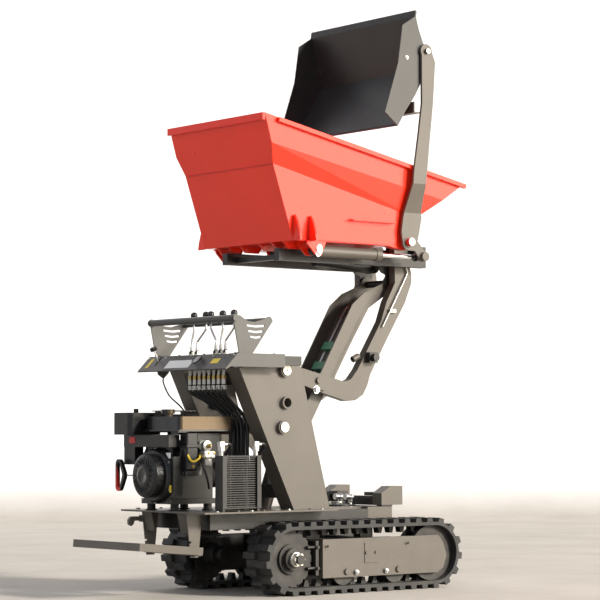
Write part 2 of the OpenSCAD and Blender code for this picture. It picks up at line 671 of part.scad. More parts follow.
module hydraulic_fittings() color("#bcb8ae") place() {
    // elbows on the cooler
    for (x = [cooler[0].x + 12, cooler[1].x - 12]) {
        rod_z(x, -300, cooler[1].z, cooler[1].z + 34, 11);
        translate([x, -300, cooler[1].z + 22]) cylinder(h = 22, r = 17, $fn = 6);
        block([x - 12, -312, cooler[1].z + 40], [x + 12, -288, cooler[1].z + 65]);
        rod_x(x + 10, x + 30, -300, cooler[1].z + 52, 10);
    }
    // unions under the valve bank
    for (y = hose_y) {
        translate([lever_x, y, 1014]) cylinder(h = 18, r = 13, $fn = 6);
        rod_z(lever_x, y, 1031, valve_z, 9);
        rod_z(lever_x, y, 990, 1015, 11);
    }
}
hose_y = [104, 66, 28, -10, -48, -86, -124, -162];
module hydraulic_hoses() color("#17181a") place() {
    for (i = [0:len(hose_y) - 1]) {
        y = hose_y[i];
        x = -96 + 24 * (i % 2);
        low = -32 - 15 * i;
        hose([[lever_x, y, 990], [lever_x, y, 955], [-164, y * 0.7 - 30, 905], [x, low, 815],
            [x + 8, low, 640], [x + 26, low, 450], [x + 26, low, deck_top]], 9, 4);
    }
    top = cooler[1].z + 52;
    for (x = [cooler[0].x + 42, cooler[1].x + 18]) hose([[x, -300, top], [x + 16, -300, top],
        [x + 32, -286, top - 14], [x + 20, -250, top - 70], [x + 10, -225, 560],
        [x + 10, -215, 440], [x + 10, -215, deck_top]], 9, 4);
}

// --- Step ---
module step_brackets() color("#6b6259") place() {
    both() {
        difference() {
            plate(172, 180) polygon([[-452, deck_top - deck_t], [-361, deck_top - deck_t], [-384, 184],
                [-426, 184]]);
            pin(step_pin, 12 + run, 171, 181);
            pin([-430, 255], 6, 171, 181);
        }
        plate(104, 172.5) polygon([[-452, deck_top - deck_t], [-446, deck_top - deck_t],
            [-424, 300], [-430, 300]]);
    }
    // tow hook at the left bracket
    plate(186, 202) difference() {
        polygon([[-520, 352], [-508, 366], [-440, 366], [-440, 346], [-488, 346], [-494, 330],
            [-506, 322], [-520, 330]]);
    }
    block([-452, 179.5, 340], [-438, 203, 372]);
}
module step_outline(inset) {
    rear = step_w / 2 - inset;
    front = step_front_w / 2 - inset;
    polygon([[-step_len + inset, -rear], [-30, -front], [-30, front], [-step_len + inset, rear]]);
}
module footboard() color("#6b6259") place() {
    hw = step_front_w / 2;
    tilt = 5;
    pin(step_pin, 12, -hw + 12, hw - 12);
    translate([step_pin.x, 0, step_pin.y]) rotate([0, tilt, 0]) {
        difference() {
            translate([0, 0, -8]) linear_extrude(36) step_outline(0);
            translate([0, 0, -9]) linear_extrude(33) step_outline(5);
            block([-40, -hw + 5.1, -9], [-29, hw - 5.1, 29]);
            // room for the brackets and the tow hook when the board is folded up
            block([-112, -190, -9], [0, 190, 29]);
            block([-200, 182, -9], [0, 208, 29]);
        }
        both() block([-50, hw - 18, -8], [16, hw - 12, 28]);
        both() block([-50, hw - 18, -8], [-40, hw - 3, 28]);
        for (y = [-60, -20]) rod_z(-step_len + 40, y, 2, 24.5, 11);
    }
}
module starter_handle() color("#1c1c1e") place() {
    c = [eng_x0 - 45, crank.x + 222, crank.y];
    translate(c) rotate([0, 90, 0]) difference() {
        translate([0, 0, -9]) linear_extrude(18) hull() {
            translate([-52, 18]) circle(24);
            translate([52, 18]) circle(24);
            translate([0, -6]) circle(28);
        }
        translate([0, 0, -10]) linear_extrude(20) hull() {
            translate([-48, 16]) circle(12);
            translate([48, 16]) circle(12);
            translate([0, 0]) circle(14);
        }
    }
    translate([c.x, c.y - 30, c.z]) rotate([90, 0, 0]) cylinder(h = 210, r = 3);
}

// --- Lift linkage ---
module leg_outline() {
    polygon([[45, 1100], [198, 1085], [514, 1011], [540, 1013], [564, 1023], [605, 1069],
        [760, 1312], [796, 1409], [853, 1509], [850, 1666], [852, 1776], [928, 1776],
        [945, 1616], [963, 1556], [963, 1513], [920, 1413], [788, 1210], [688, 1048],
        [668, 992], [640, 947], [590, 918], [535, 914], [391, 951], [225, 1000], [45, 1010]]);
    translate(arm_top) circle(45);
    translate(tip_pin) circle(38);
}
module lift_arm() color("#6b6259") place() {
    both() {
        difference() {
            plate(leg_in, leg_out) leg_outline();
            for (p = [arm_top, tip_pin]) pin(p, pin_r + run, leg_in - 1, leg_out + 1);
        }
        // boss and stub pin towards the lift cylinder's eye, and its nut outside
        pin(lift_eye, 15, lift_eye_w / 2 + boss_gap, leg_in + 1);
        pin(lift_eye, 26, leg_in - 14, leg_in + 1);
        pin(lift_eye, 16, leg_out - 1, leg_out + 12);
        // spacer ring against the mast boss
        difference() {
            pin(arm_top, 34, leg_out - 1, mast_y - mast_t - 25);
            pin(arm_top, pin_r + run, leg_out - 2, mast_y);
        }
    }
    // rubber stop through the right leg
    translate([682, 0, 1130]) {
        block([-26, -leg_out - 34, -26], [26, -leg_out + 1, 26]);
        translate([0, -leg_out - 33, 0]) rotate([90, 0, 0]) cylinder(h = 24, r = 19);
    }
    translate([596, -leg_in - 18, 1120]) rotate([0, 66, 0]) cylinder(h = 40, r = 16);
    // cross tube behind the legs, clear of the lower link
    difference() {
        pin(arm_top, 34, -leg_in - 1, leg_in + 1);
        pin(arm_top, pin_r + run, -leg_in - 2, leg_in + 2);
    }
}
module link_outline() {
    polygon([[-12, 770], [60, 744], [180, 640], [245, 640], [351, 789], [448, 951], [494, 1040],
        [679, 1339], [721, 1372], [834, 1441], [900, 1482], [895, 1545], [835, 1509], [708, 1458],
        [631, 1397], [429, 1057], [270, 790], [214, 722], [78, 826], [31, 831]]);
    translate(link_low) circle(45);
    translate(link_high) circle(40);
}
module link_web() polygon([[362, 806], [448, 951], [494, 1040], [679, 1339], [721, 1372],
    [834, 1441], [830, 1447.5], [717, 1379], [672.5, 1343], [487, 1043.5], [441.5, 954.5],
    [355.5, 810]]);
module lower_link() color("#6b6259") place() {
    hw = link_w / 2;
    both() difference() {
        union() {
            plate(hw - 8, hw) link_outline();
            pin(link_low, 34, hw - 1, mast_y - mast_t - 24.5);
        }
        for (p = [link_low, link_high]) pin(p, pin_r + run, hw - 9, mast_y);
    }
    plate(-hw + 7.5, hw - 7.5) link_web();
    difference() {
        pin(link_low, 30, -hw + 7.5, hw - 7.5);
        pin(link_low, pin_r + run, -hw, hw);
    }
    // pipe clamps inside the channel
    for (t = [0.12, 0.45]) {
        a = lerp([494, 1040], [679, 1339], t);
        translate([a.x, 0, a.y]) rotate([0, -58.3, 0]) block([-22, -48, 6], [22, 48, 34]);
    }
    for (y = [-34, 34])
        hose([[448, y, 990], [512, y, 1092], [672, y, 1351], [704, y, 1388], [790, y, 1442]], 7, 3);
}
carrier_hw = leg_in - 6;
module carrier() color("#1f1e1d") place() {
    both() {
        plate(carrier_hw - 10, carrier_hw) union() {
            bar2d(tip_pin, link_high, 42, 40);
            polygon([[876, 1641], [998, 1641], [998, 1700], [932, 1772], [880, 1760]]);
            translate(tip_base) circle(34);
            polygon([[826, 1556], [870, 1540], [890, 1642], [832, 1624]]);
        }
        // beams under the skip
        block([60, 185, 1584], [1000, beam_y, 1640]);
    }
    block([960, -beam_y, 1636], [1000, beam_y, 1690]);
    block([112, -186, 1594], [150, 186, 1618]);
    pin(link_high, pin_r, -carrier_hw - 3, carrier_hw + 3);
    pin(tip_base, 12.5, -carrier_hw, carrier_hw);
    pin(tip_pin, pin_r, -skip_lug_y - 26, skip_lug_y + 26);
}
skip_lug_y = 176;

// --- Skip ---
rim_slope = (skip_tip.y - skip_rear.y) / (skip_tip.x - skip_rear.x);
floor_x = [46, 662];
// Points of one side in side view, from the rear rim round to the tip, with the half width
function skip_side(t) = [[skip_rear.x + t, skip_rear.y, skip_hw - t],
    [-108 + t, 2119, skip_hw - t], [-75 + t, 2025, skip_floor_hw - t],
    [floor_x[0] + t * 0.8, skip_floor_z + t, skip_floor_hw - t],
    [floor_x[1] - t * 0.4, skip_floor_z + t, skip_floor_hw - t],
    [823 - t * 0.4, 1818 + t, skip_floor_hw - t], [975 - t * 0.4, 1914 + t, skip_hw - t],
    [skip_tip.x - t * 0.4, skip_tip.y + t, skip_hw - t]];
module skip_hull(t, lift = 0) {
    s = skip_side(t);
    pts = concat([for (p = s) [p.x, -p.z, p.y]], [for (p = s) [p.x, p.z, p.y]],
        lift > 0 ? [[s[0].x, -s[0].z, s[0].y + lift], [s[7].x, -s[7].z, s[7].y + lift],
            [s[0].x, s[0].z, s[0].y + lift], [s[7].x, s[7].z, s[7].y + lift]] : []);
    sides = [[0, 7, 6, 1], [1, 6, 5, 2], [2, 5, 4, 3]];
    round_cut = [for (q = sides) [for (k = q) k], for (q = sides) [for (k = [3:-1:0]) q[k] + 8]];
    belt = [for (i = [0:6]) [i, i + 1, i + 9, i + 8]];
    top = lift > 0 ? [[0, 16, 17, 7], [8, 15, 19, 18], [0, 8, 18, 16], [7, 17, 19, 15], [16, 18, 19, 17]]
        : [[0, 8, 15, 7]];
    polyhedron(pts, concat(round_cut, belt, top));
}
module rib(y, x0, x1, drop) plate(y - 5, y + 5) polygon([[x0, skip_floor_z + 1], [x1, skip_floor_z + 1],
    [x1 - 22, skip_floor_z - drop], [x0 + 34, skip_floor_z - drop]]);
module skip() color("#f0452c") place() {
    difference() {
        skip_hull(0);
        skip_hull(sheet, 40);
    }
    a = atan(rim_slope);
    // outward rim rail along both sides and a folded lip across the rear
    both() translate([skip_rear.x + 70, skip_hw - 1, skip_rear.y + rim_slope * 70 - 24])
        rotate([0, -a, 0]) block([0, 0, 0], [1215, 21, 20]);
    block([skip_rear.x - 14, -skip_hw, skip_rear.y - 34], [skip_rear.x + 2, skip_hw, skip_rear.y]);
    both() {
        // guide shelf for the shovel arm and gusset fins at the rear corner
        block([392, skip_floor_hw - 1, 1780], [664, 384, 1786]);
        for (x = [44, 140]) plate_x(x, x + 10) polygon([[skip_floor_hw - 1, 1672], [skip_floor_hw - 1, 1782],
            [362, 1790], [384, 1752], [402, 1700], [408, 1668], [skip_floor_hw + 16, 1668]]);
        // ears and pin of the shovel cylinder
        for (y = [284, 356]) difference() {
            plate(y, y + 10) polygon([[120, skip_floor_z + 2], [120, 1656], [170, 1606], [206, 1604],
                [216, 1630], [236, skip_floor_z + 2]]);
            pin(ear_pin, 11, y - 1, y + 11);
        }
        pin(ear_pin, 11.5, 280, 370);
        // arm pivot bracket and stub shaft
        plate(300, 346) polygon([[640, skip_floor_z + 1], [790, 1788], [800, 1780], [786, 1680], [752, 1655],
            [700, 1662]]);
        pin(arm_pin, 20, 345, 400);
        // lugs on the tipping pin
        difference() {
            plate(skip_lug_y - 12, skip_lug_y) union() {
                translate(tip_pin) circle(36);
                polygon([[864, 1754], [846, 1835], [960, 1907], [922, 1764]]);
            }
            pin(tip_pin, pin_r + run, skip_lug_y - 13, skip_lug_y + 1);
        }
        // clevis for the tipping cylinder
        difference() {
            plate(28, 38) polygon([[176, skip_floor_z + 1], [200, 1612], [240, 1612],
                [268, skip_floor_z + 1]]);
            pin(tip_eye, 11, 27, 39);
        }
        pin(tip_eye, 11.5, tip_eye_w / 2 + boss_gap, 38);
    }
    for (y = [-262, -76, 76, 262]) rib(y, 52, 190, 34);
    for (y = [-168, 168]) rib(y, 52, 150, 24);
}
module plate_x(x0, x1) translate([x0, 0, 0]) rotate([90, 0, 90]) linear_extrude(x1 - x0) children();

// --- Shovel arms and shovel ---
module arm_low2d() polygon([[704, 1742], [716, 1815], [724, 1846], [830, 1846], [836, 1820],
    [820, 1745], [808, 1700], [870, 1640], [862, 1604], [832, 1604], [790, 1652], [752, 1652],
    [714, 1680]]);
module arm_high2d() {
    polygon([[748, 2040], [780, 2230], [802, 2378], [802, 2632], [868, 2640], [890, 2590], [874, 2382],
        [850, 2190], [826, 1978], [742, 1978]]);
    translate(shovel_pin) circle(arm_r);
}
module shovel_arms() color("#6b6259") place() {
    y0 = arm_low_y;
    y1 = arm_high_y;
    both() {
        difference() {
            plate(y0, y0 + arm_t) {
                arm_low2d();
                translate(arm_pin) circle(40);
                translate(horn_pin) circle(26);
            }
            pin(arm_pin, 20 + run, y0 - 1, y0 + arm_t + 1);
        }
        difference() {
            plate(y1, y1 + arm_t) arm_high2d();
            pin(shovel_pin, 13, y1 - 1, y1 + arm_t + 1);
        }
        // sloping joggle between the two flat stretches
        joggle(y0, y1, 1838, 1982);
        // stub pin towards the rod's eye and its outer boss
        pin(horn_pin, 11, cyl_y + 14 + boss_gap, y0 + 1);
        pin(horn_pin, 22, y0 + arm_t - 1, y0 + arm_t + 18);
        pin(shovel_pin, 13.5, shovel_hw - 18, y1 + arm_t + 14);
    }
    // angle bar behind the shovel
    block([757, -y1 - 1, 2330], [763, y1 + 1, 2385]);
    block([757, -y1 - 1, 2330], [800, y1 + 1, 2336]);
}
module joggle(y0, y1, z0, z1) {
    pts = [for (z = [z0, z1]) for (dy = [0, arm_t]) for (side = [0, 1])
        let (y = (z == z0 ? y0 : y1) + dy, x = z == z0 ? (side ? 831 : 722) : (side ? 826 : 742))
        [x, y, z]];
    polyhedron(pts, [[0, 1, 3, 2], [4, 6, 7, 5], [0, 4, 5, 1], [2, 3, 7, 6], [0, 2, 6, 4],
        [1, 5, 7, 3]]);
}
module shovel_side2d() polygon([[776, 2812], [690, 2758], [660, 2567], [574, 2320], [651, 2261],
    [772, 2420], [851, 2554], [852, 2600], [800, 2740]]);
module shovel_back2d() polygon([[770, 2812], [843, 2556], [651, 2268], [651, 2260], [656, 2257],
    [850, 2553], [778, 2812]]);
module shovel() color("#3a3838") place() {
    hw = shovel_hw;
    difference() {
        union() {
            plate(-hw, hw) shovel_back2d();
            plate(-hw, hw) polygon([[770, 2806], [778, 2806], [784, 2834], [776, 2842]]);
            both() {
                plate(hw - sheet, hw) shovel_side2d();
                plate(hw - sheet, hw) polygon([[800, 2740], [852, 2600], [866, 2628], [860, 2668],
                    [826, 2680]]);
                pin(shovel_pin, 24, hw - 16, hw - sheet + 0.5);
            }
        }
        both() pin(shovel_pin, 13.5 + run, hw - 20, hw + 1);
    }
}

// --- Hydraulic cylinders ---
lift_len = norm(lift_eye - lift_base);
tip_len = norm(tip_eye - tip_base);
arm_len = norm(horn_pin - ear_pin);
lift_stroke = lift_len - norm(turned(lift_eye, arm_top, lift_angle) - lift_base);
lift_eye_w = 44;
tip_eye_w = 40;
// Barrel along +Z with its eye at the origin and a blind bore for the rod
module barrel(r, rod_r, eye_r, eye_w, pin_size, len_b) {
    difference() {
        union() {
            translate([0, 0, eye_r - 6]) cylinder(h = len_b - eye_r + 6, r = r);
            translate([0, 0, len_b - 34]) cylinder(h = 34, r = r + 3);
            rotate([90, 0, 0]) translate([0, 0, -eye_w / 2]) cylinder(h = eye_w, r = eye_r);
        }
        rotate([90, 0, 0]) translate([0, 0, -eye_w]) cylinder(h = 2 * eye_w, r = pin_size + run);
        translate([0, 0, eye_r + 12]) cylinder(h = len_b, r = rod_r + run);
    }
}
// Rod along +Z from z0 to its eye at the given length
module rod_part(r, eye_r, eye_w, z0, z1) {
    translate([0, 0, z0]) cylinder(h = z1 - z0 - eye_r + 4, r = r);
    translate([0, 0, z1 - eye_r - 22]) cylinder(h = 24, r = eye_w / 2 - 1);
    translate([0, 0, z1]) rotate([90, 0, 0]) translate([0, 0, -eye_w / 2]) cylinder(h = eye_w, r = eye_r);
}
lift_barrel_len = 404;
tip_barrel_len = 330;
arm_barrel_len = 414;
module lift_barrel() color("#57524b") place() aim(lift_base, lift_eye)
    barrel(lift_cyl_r, lift_rod_r, 30, 80, 12.5, lift_barrel_len);
module lift_rod() color("#d6d6d4") place() aim(lift_base, lift_eye)
    rod_part(lift_rod_r, 30, lift_eye_w, lift_barrel_len - 60, lift_len);
module tip_barrel() color("#1f1e1d") place() aim(tip_base, tip_eye)
    barrel(tip_cyl_r, tip_rod_r, 28, 60, 12.5, tip_barrel_len + 40);
module tip_rod() color("#d6d6d4") place() aim(tip_base, tip_eye)
    rod_part(tip_rod_r, 24, tip_eye_w, 60, tip_len);
module shovel_barrels() color("#57524b") place() both() aim(ear_pin, horn_pin, cyl_y)
    barrel(arm_cyl_r, arm_rod_r, 22, 28, 11.5, arm_barrel_len);
module shovel_rods() color("#d6d6d4") place() both() aim(ear_pin, horn_pin, cyl_y)
    rod_part(arm_rod_r, 20, 28, arm_barrel_len - 60, arm_len);

chassis_frame();
deck_plate();
hydraulic_tank();
tank_lid();
rest_blocks();
mast_left();
mast_right();
mast_brace();
mast_pins();
console();
handlebar();
pressure_gauge();
valve_bank();
hydraulic_hoses();
hydraulic_fittings();
engine_block();
recoil_housing();
engine_shroud();
fuel_tank();
air_cleaner();
muffler();
carburettor();
hydraulic_pump();
engine_mounts();
oil_cooler();
track_frames();
track_covers();
track_left();
track_right();
drive_motors();
step_brackets();
throttle_cable();
sprocket_left();
sprocket_right();
idler_left();
idler_right();
roller_rear_left();
roller_rear_right();
roller_front_left();
roller_front_right();
lift_arm();
lower_link();
carrier();
skip();
shovel_arms();
shovel();
lift_barrel();
lift_rod();
tip_barrel();
tip_rod();
shovel_barrels();
shovel_rods();
lever_1();
lever_2();
lever_3();
lever_4();
lever_5();
throttle_lever();
footboard();
starter_handle();
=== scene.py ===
import bpy, math, random
from mathutils import Vector, Matrix


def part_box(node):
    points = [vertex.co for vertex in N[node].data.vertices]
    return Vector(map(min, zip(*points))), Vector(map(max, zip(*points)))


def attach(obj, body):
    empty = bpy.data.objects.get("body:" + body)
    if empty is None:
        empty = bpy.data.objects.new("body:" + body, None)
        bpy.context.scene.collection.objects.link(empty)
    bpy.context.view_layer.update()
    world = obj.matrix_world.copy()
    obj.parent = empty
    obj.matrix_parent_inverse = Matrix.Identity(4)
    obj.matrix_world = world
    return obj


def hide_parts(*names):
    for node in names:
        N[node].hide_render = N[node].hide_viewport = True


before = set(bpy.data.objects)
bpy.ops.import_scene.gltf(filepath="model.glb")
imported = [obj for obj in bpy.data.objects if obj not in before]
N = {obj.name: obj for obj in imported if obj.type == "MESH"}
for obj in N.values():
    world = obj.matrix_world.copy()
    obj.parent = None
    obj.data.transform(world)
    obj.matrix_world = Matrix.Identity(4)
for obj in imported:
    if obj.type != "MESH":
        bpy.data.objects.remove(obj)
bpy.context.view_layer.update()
random.seed(7)
OFF = 0.1685          # the sprocket axle stands this far behind the row frame's origin


def P(x, y, z):
    """A place given in millimetres from the sprocket axle, as metres in the row frame."""
    return Vector((x / 1000 - OFF, y / 1000, z / 1000))


# ---------------------------------------------------------------- materials
def new_mat(name):
    m = bpy.data.materials.new(name)
    m.use_nodes = True
    t = m.node_tree
    t.nodes.clear()
    out = t.nodes.new("ShaderNodeOutputMaterial")
    b = t.nodes.new("ShaderNodeBsdfPrincipled")
    t.links.new(b.outputs[0], out.inputs[0])
    return m, t, b


def noise(t, scale, detail=4.0, rough=0.55):
    g = t.nodes.new("ShaderNodeNewGeometry")
    n = t.nodes.new("ShaderNodeTexNoise")
    n.inputs["Scale"].default_value = scale
    n.inputs["Detail"].default_value = detail
    n.inputs["Roughness"].default_value = rough
    t.links.new(g.outputs["Position"], n.inputs["Vector"])
    return n.outputs["Fac"]


def ramp(t, src, lo, hi, a=0.0, b=1.0):
    r = t.nodes.new("ShaderNodeMapRange")
    r.inputs["From Min"].default_value = lo
    r.inputs["From Max"].default_value = hi
    r.inputs["To Min"].default_value = a
    r.inputs["To Max"].default_value = b
    t.links.new(src, r.inputs["Value"])
    return r.outputs[0]


def mix(t, fac, a, b):
    m = t.nodes.new("ShaderNodeMix")
    m.data_type = "RGBA"
    for sock, v in ((m.inputs[0], fac), (m.inputs[6], a), (m.inputs[7], b)):
        if isinstance(v, (tuple, list)):
            sock.default_value = (*v[:3], 1.0)
        elif isinstance(v, (int, float)):
            sock.default_value = v
        else:
            t.links.new(v, sock)
    return m.outputs[2]


def mul(t, a, b):
    m = t.nodes.new("ShaderNodeMath")
    m.operation = "MULTIPLY"
    for sock, v in ((m.inputs[0], a), (m.inputs[1], b)):
        if isinstance(v, (int, float)):
            sock.default_value = v
        else:
            t.links.new(v, sock)
    return m.outputs[0]


def shade(name, base, rough=0.45, metal=0.0, spread=0.12, scale=6.0, fine=900.0, bump=0.06, dust=0.0,
          dust_col=(0.34, 0.30, 0.25), wear=0.0, wear_col=(0.5, 0.48, 0.45), coat=0.0, bevel=0.0012,
          rough_spread=0.05, low=0.55, ior=1.5):
    m, t, b = new_mat(name)
    dark = tuple(c * (1 - spread) for c in base)
    light = tuple(min(1, c * (1 + spread)) for c in base)
    n1 = noise(t, scale, 5, 0.6)
    col = mix(t, ramp(t, n1, 0.35, 0.65), dark, light)
    bev = None
    if bevel:
        bev = t.nodes.new("ShaderNodeBevel")
        bev.samples = 4
        bev.inputs["Radius"].default_value = bevel
    if wear and bev:
        g = t.nodes.new("ShaderNodeNewGeometry")
        d = t.nodes.new("ShaderNodeVectorMath")
        d.operation = "DOT_PRODUCT"
        t.links.new(bev.outputs[0], d.inputs[0])
        t.links.new(g.outputs["Normal"], d.inputs[1])
        edge = ramp(t, d.outputs["Value"], 0.97, 0.80)
        spots = ramp(t, noise(t, 35, 6, 0.7), 0.5, 0.72)
        col = mix(t, mul(t, mul(t, edge, spots), wear), col, wear_col)
    if dust:
        g = t.nodes.new("ShaderNodeNewGeometry")
        s = t.nodes.new("ShaderNodeSeparateXYZ")
        t.links.new(g.outputs["Position"], s.inputs[0])
        height = ramp(t, s.outputs["Z"], low, 0.0, 0.12, 1.0)
        sn = t.nodes.new("ShaderNodeSeparateXYZ")
        t.links.new(g.outputs["Normal"], sn.inputs[0])
        up = ramp(t, sn.outputs["Z"], -0.2, 1.0, 0.35, 1.0)
        fac = mul(t, mul(t, height, up), mul(t, ramp(t, noise(t, 9, 8, 0.65), 0.38, 0.66), dust))
        col = mix(t, fac, col, dust_col)
    t.links.new(col, b.inputs["Base Color"])
    r = ramp(t, noise(t, scale * 4, 6, 0.65), 0.3, 0.7, max(0.03, rough - rough_spread), min(1, rough + rough_spread))
    t.links.new(r, b.inputs["Roughness"])
    b.inputs["Metallic"].default_value = metal
    b.inputs["IOR"].default_value = ior
    if coat:
        b.inputs["Coat Weight"].default_value = coat
        b.inputs["Coat Roughness"].default_value = 0.12
    bp = t.nodes.new("ShaderNodeBump")
    bp.inputs["Strength"].default_value = bump
    bp.inputs["Distance"].default_value = 0.002
    t.links.new(noise(t, fine, 3, 0.5), bp.inputs["Height"])
    if bev:
        t.links.new(bev.outputs[0], bp.inputs["Normal"])
    t.links.new(bp.outputs[0], b.inputs["Normal"])
    return m


TAUPE = (0.088, 0.076, 0.062)
M = {
    "taupe": shade("taupe_paint", TAUPE, 0.40, spread=0.06, fine=420, bump=0.10, dust=0.10, wear=0.35,
                   wear_col=(0.20, 0.18, 0.16)),
    "slate": shade("console_paint", (0.050, 0.049, 0.047), 0.34, spread=0.08, fine=420, bump=0.10, wear=0.25,
                   wear_col=(0.25, 0.24, 0.22)),
    "dark": shade("dark_paint", (0.0105, 0.0100, 0.0095), 0.42, spread=0.15, fine=420, bump=0.10, dust=0.12, wear=0.3,
                  wear_col=(0.07, 0.065, 0.06)),
    "shovel": shade("shovel_paint", (0.024, 0.0225, 0.022), 0.34, spread=0.16, scale=4, fine=380, bump=0.10,
                    wear=0.5, wear_col=(0.22, 0.20, 0.19)),
    "red": shade("red_paint", (0.86, 0.026, 0.007), 0.30, spread=0.03, scale=3, fine=380, bump=0.04, coat=0.25, ior=1.4,
                 wear=0.35, wear_col=(0.85, 0.08, 0.04), rough_spread=0.03),
    "red_dark": shade("red_paint_deep", (0.55, 0.010, 0.004), 0.36, spread=0.06, scale=3, fine=380, bump=0.07,
                      coat=0.25, rough_spread=0.06),
    "rubber": shade("track_rubber", (0.013, 0.013, 0.0135), 0.62, spread=0.25, scale=14, fine=260, bump=0.25,
                    dust=0.16, low=0.5, bevel=0.002),
    "hose": shade("hose_rubber", (0.006, 0.006, 0.0065), 0.38, spread=0.2, fine=700, bump=0.12, bevel=0),
    "chrome": shade("chrome_rod", (0.78, 0.78, 0.78), 0.10, 1.0, spread=0.03, fine=500, bump=0.01,
                    rough_spread=0.04, bevel=0.0006),
    "zinc": shade("zinc", (0.56, 0.55, 0.52), 0.32, 1.0, spread=0.12, fine=600, bump=0.06, dust=0.15,
                  bevel=0.0008),
    "pale": shade("pale_nut", (0.62, 0.60, 0.54), 0.42, 0.7, spread=0.10, fine=500, bump=0.06, dust=0.2),
    "brass": shade("brass", (0.55, 0.40, 0.15), 0.30, 1.0, spread=0.12, fine=600, bump=0.05, bevel=0.0006),
    "cast": shade("cast_iron", (0.030, 0.028, 0.026), 0.55, 0.3, spread=0.22, scale=18, fine=300, bump=0.3,
                  dust=0.22),
    "plastic": shade("black_plastic", (0.0055, 0.0058, 0.0065), 0.34, spread=0.15, fine=900, bump=0.12, dust=0.1),
    "gloss": shade("gloss_black", (0.006, 0.006, 0.0066), 0.20, spread=0.12, fine=900, bump=0.03, coat=0.3,
                   rough_spread=0.06),
    # painted sheen: a warm metallic colour that stands in for the light's sheen on the glossy black fuel tank's lit
    # side
    "tank_sheen": shade("tank_sheen_paint", (0.11, 0.080, 0.050), 0.30, 0.7, spread=0.12, fine=700, bump=0.06),
    "alloy": shade("cast_alloy", (0.16, 0.155, 0.145), 0.45, 0.8, spread=0.15, scale=14, fine=350, bump=0.25,
                   dust=0.2),
    "alloy_light": shade("alloy_light", (0.50, 0.49, 0.46), 0.38, 0.75, spread=0.15, scale=14, fine=350, bump=0.2,
                         dust=0.1),
    "steel": shade("bare_steel", (0.45, 0.44, 0.42), 0.35, 1.0, spread=0.15, scale=12, fine=500, bump=0.08,
                   dust=0.25),
    "redgrip": shade("red_grip", (0.55, 0.02, 0.015), 0.40, spread=0.08, fine=600, bump=0.10),
    "green": shade("green_clamp", (0.05, 0.20, 0.10), 0.45, spread=0.12, fine=600, bump=0.10),
    "white": shade("white_label", (0.78, 0.78, 0.76), 0.45, spread=0.03, fine=900, bump=0.03, bevel=0),
    "yellow": shade("yellow_label", (0.80, 0.58, 0.04), 0.45, spread=0.03, fine=900, bump=0.03, bevel=0),
    "weld": shade("weld_bead", (0.62, 0.018, 0.008), 0.38, spread=0.10, fine=260, bump=0.35, bevel=0),
    "yellow_hose": shade("yellow_hose", (0.70, 0.50, 0.03), 0.40, spread=0.10, fine=600, bump=0.10, bevel=0),
    "dial": shade("gauge_dial", (0.42, 0.43, 0.42), 0.35, spread=0.04, fine=900, bump=0.02, bevel=0),
    "pink": shade("pink_dot", (0.75, 0.12, 0.10), 0.45, spread=0.05, fine=900, bump=0.03, bevel=0),
}


def give(name, *mats):
    o = N[name]
    o.data.materials.clear()
    for m in mats:
        o.data.materials.append(M[m])
    for p in o.data.polygons:
        p.material_index = 0
    return o


def part(name, index, test):
    """Gives the polygons whose middle passes the test another of the node's materials."""
    o = N[name]
    for p in o.data.polygons:
        c = p.center
        if test((c.x + OFF) * 1000, c.y * 1000, c.z * 1000, p.normal):
            p.material_index = index


for n in ("deck_plate", "hydraulic_tank", "mast_left", "mast_right", "step_brackets", "footboard", "track_covers",
          "shovel_arms"):
    give(n, "taupe")
for n in ("chassis_frame", "mast_brace", "carrier", "track_frames", "drive_motors", "tip_barrel"):
    give(n, "dark")
give("rest_blocks", "taupe", "dark")
part("rest_blocks", 1, lambda x, y, z, n: abs(y) < 166)
give("console", "slate", "plastic")
part("console", 1, lambda x, y, z, n: x > -6 and z < 1121)
give("handlebar", "slate")
give("skip", "red", "red_dark")
give("shovel", "shovel")
for n in ("track_left", "track_right", "engine_mounts"):
    give(n, "rubber")
for n in ("hydraulic_hoses", "throttle_cable"):
    give(n, "hose")
for n in ("lift_rod", "tip_rod", "shovel_rods"):
    give(n, "chrome", "dark")
for n in ("lift_barrel", "shovel_barrels"):
    give(n, "taupe", "dark")
give("mast_pins", "pale", "redgrip", "zinc")
give("tank_lid", "zinc", "dark")
part("tank_lid", 1, lambda x, y, z, n: z < 407)
give("valve_bank", "zinc", "dark")
part("valve_bank", 1, lambda x, y, z, n: z < 1112)
give("hydraulic_fittings", "zinc", "brass")
part("hydraulic_fittings", 1, lambda x, y, z, n: 1013 < z < 1033)
give("throttle_lever", "chrome", "plastic")
part("throttle_lever", 1, lambda x, y, z, n: z > 1142)
for s in ("left", "right"):
    give("sprocket_" + s, "cast", "pale", "steel")
    part("sprocket_" + s, 1, lambda x, y, z, n: abs(y) > 420 and math.hypot(x, z - 171.5) < 34)
    give("idler_" + s, "cast")
    give("roller_rear_" + s, "cast")
    give("roller_front_" + s, "cast")
give("hydraulic_pump", "cast")
give("muffler", "cast", "steel")
part("muffler", 1, lambda x, y, z, n: z > 862)
for n in ("recoil_housing", "engine_shroud", "air_cleaner"):
    give(n, "plastic")
give("oil_cooler", "dark")
# the fuel tank's faces that point towards the light get the painted sheen material, the rest stay gloss black
give("fuel_tank", "gloss", "tank_sheen")
part("fuel_tank", 1, lambda x, y, z, n: n.y < -0.75 and z > 776)
give("engine_block", "alloy", "plastic")
part("engine_block", 1, lambda x, y, z, n: z < 640 and y < 180)
give("carburettor", "plastic", "alloy")
part("carburettor", 1, lambda x, y, z, n: x > -327)
give("pressure_gauge", "chrome", "white")
part("pressure_gauge", 1, lambda x, y, z, n: n.x < -0.6 and n.z > 0.6)
give("starter_handle", "plastic", "redgrip")
part("starter_handle", 1, lambda x, y, z, n: y > 296 and z < 572)
for k in range(5):
    give(f"lever_{k + 1}", "chrome")
give("lift_arm", "taupe", "plastic")
